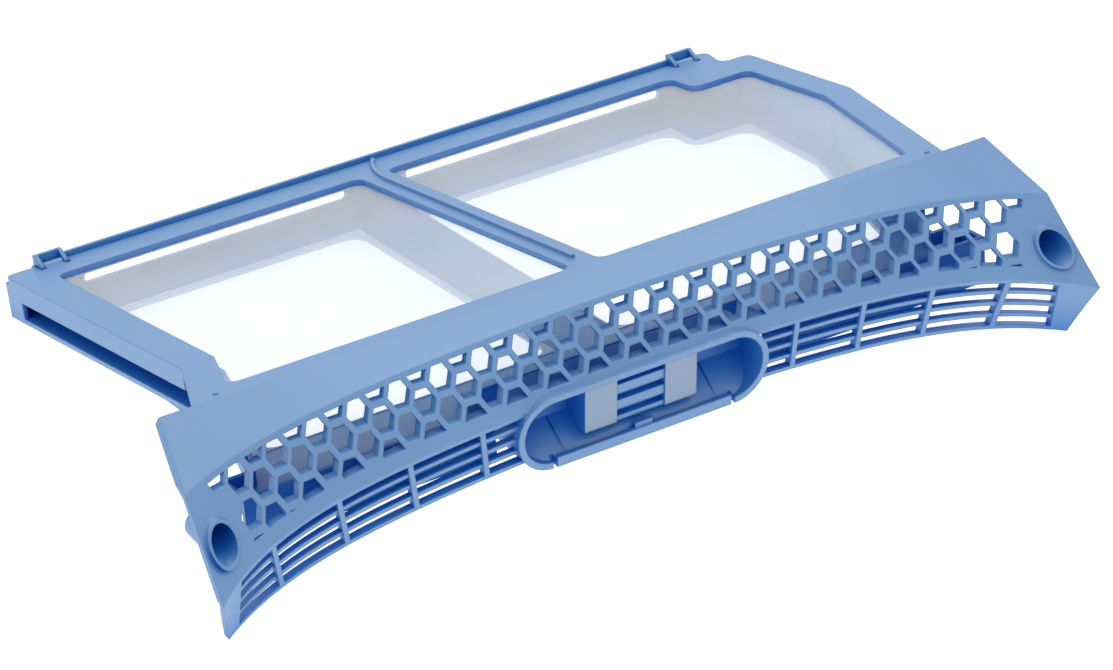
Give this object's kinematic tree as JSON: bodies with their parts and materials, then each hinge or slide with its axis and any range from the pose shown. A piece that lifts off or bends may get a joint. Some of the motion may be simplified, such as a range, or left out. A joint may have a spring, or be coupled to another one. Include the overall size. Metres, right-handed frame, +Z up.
{
  "type": "tumble dryer lint filter",
  "caption": "Tumble dryer lint filter: moulded grille with honeycomb band, arched slats and recessed grip, joined to a sloping mesh frame with a hinged mesh tray.",
  "frame": {"origin": "centre of the filter's footprint, on the surface that it lies on", "axes": "+X along the grille to its right end seen from the front, -Y out of the grille's front, +Z up"},
  "size_m": [0.4, 0.2556, 0.065],
  "materials": {
    "frame_plastic": "satin moulded",
    "tray_plastic": "satin moulded",
    "mesh": "fine woven mesh"
  },
  "bodies": {
    "upper": {"upper_frame": "frame_plastic", "upper_left_screen": "mesh", "upper_right_screen": "mesh"},
    "lower": {"lower_frame": "tray_plastic", "lower_left_screen": "mesh", "lower_right_screen": "mesh"}
  },
  "joints": [
    {"name": "tray_hinge", "type": "hinge", "parent": "upper", "child": "lower", "pos_m": [0, 0.12199, 0.01831], "axis": [1, 0, 0], "range_deg": [0, 95]}
  ]
}
